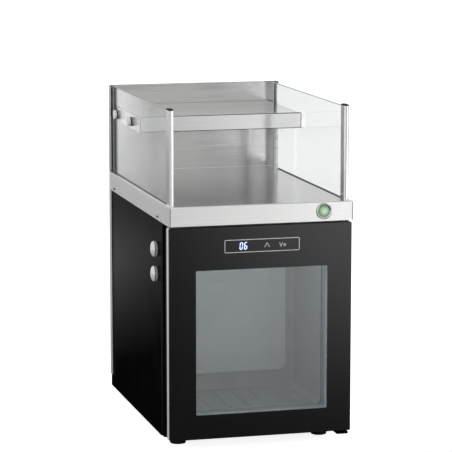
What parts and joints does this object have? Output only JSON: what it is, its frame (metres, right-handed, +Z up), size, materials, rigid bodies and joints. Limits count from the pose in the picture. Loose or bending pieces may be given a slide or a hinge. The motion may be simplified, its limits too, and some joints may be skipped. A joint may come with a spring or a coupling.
{
  "type": "milk cooler with cup warmer",
  "caption": "Counter-top milk refrigerator with a glazed hinged door, hose outlets and a heated stainless cup warmer with glass side screens and an upper shelf on its roof.",
  "frame": {"origin": "floor under the middle of the overall box", "axes": "+X to the right seen from the front, +Y to the back, +Z up; the door faces -Y"},
  "size_m": [0.3018, 0.4378, 0.5305],
  "materials": {
    "stainless": "brushed",
    "zinc_steel": "zinc plated",
    "black_paint": "satin powder coat",
    "grey_paint": "satin powder coat",
    "black_enamel": "gloss enamel",
    "black_plastic": "fine moulded grain",
    "liner_plastic": "vacuum formed satin",
    "white_nylon": "moulded",
    "foam": "cut foam",
    "clear_glass": "polished float glass",
    "black_print": "ceramic print behind glass",
    "aluminium": "satin anodised",
    "black_rubber": "moulded rubber",
    "chrome": "polished chrome",
    "bright_steel": "turned",
    "copper": "drawn copper",
    "green_lens": "translucent polycarbonate",
    "light_lens": "opal lens",
    "silicone": "silicone heater mat"
  },
  "bodies": {
    "cabinet": {"warmer_tray": "stainless", "rear_wall": "stainless", "cup_shelf": "stainless", "base_pan": "zinc_steel", "tray_base_plate": "zinc_steel", "shelf_base": "zinc_steel", "lower_hinge_bracket": "zinc_steel", "upper_hinge_bracket": "zinc_steel", "cabinet_shell": "black_paint", "rear_cover": "grey_paint", "rear_cover_lower": "grey_paint", "compressor": "black_enamel", "front_frame": "black_plastic", "control_box": "black_plastic", "fan_frame": "black_plastic", "fan_motor": "black_plastic", "power_inlet": "black_plastic", "post_caps": "black_plastic", "rear_channels": "black_plastic", "inner_liner": "liner_plastic", "hose_bushes": "white_nylon", "warmer_thermostat": "white_nylon", "temperature_sensor": "white_nylon", "insulation_foam": "foam", "glass_screens": "clear_glass", "front_posts": "aluminium", "condenser_fins": "aluminium", "evaporator_plate": "aluminium", "feet": "black_rubber", "glass_seals": "black_rubber", "compressor_grommets": "black_rubber", "fixing_washers": "black_rubber", "shelf_fixings": "chrome", "switch_housing": "chrome", "tray_screws": "bright_steel", "small_screws": "bright_steel", "foot_screws": "bright_steel", "rear_cover_screws": "bright_steel", "fixing_nuts": "bright_steel", "cable_conduit": "bright_steel", "condenser_tube": "copper", "refrigerant_pipes": "copper", "filter_drier": "copper", "led_light_bar": "light_lens", "heater_mats": "silicone"},
    "door": {"door_outer_glass": "clear_glass", "door_print": "black_print", "door_edge_frame": "aluminium", "hinge_bushes": "white_nylon", "door_spacer": "aluminium", "door_inner_glass": "clear_glass", "glazing_bead": "liner_plastic", "door_inner_frame": "black_plastic", "door_gasket": "black_rubber", "display_module": "black_plastic"},
    "switch_button": {"switch_button": "green_lens"},
    "hose_plug_upper": {"hose_plug_upper": "chrome"},
    "hose_plug_lower": {"hose_plug_lower": "chrome"},
    "fan_rotor": {"fan_rotor": "black_plastic"}
  },
  "joints": [
    {"name": "door_hinge", "type": "hinge", "parent": "cabinet", "child": "door", "pos_m": [0.138, -0.195, 0.1852], "axis": [0, 0, 1], "range_deg": [0, 110]},
    {"name": "button_press", "type": "slide", "parent": "cabinet", "child": "switch_button", "axis": [0, 1, 0], "range_m": [0, 0.002], "stiffness_N_per_m": 400},
    {"name": "plug_upper_pull", "type": "slide", "parent": "cabinet", "child": "hose_plug_upper", "axis": [-1, 0, 0], "range_m": [0, 0.03]},
    {"name": "plug_lower_pull", "type": "slide", "parent": "cabinet", "child": "hose_plug_lower", "axis": [-1, 0, 0], "range_m": [0, 0.03]},
    {"name": "fan_spin", "type": "hinge", "parent": "cabinet", "child": "fan_rotor", "pos_m": [0.07, 0.1974, 0.185], "axis": [0, 1, 0], "continuous": true}
  ]
}
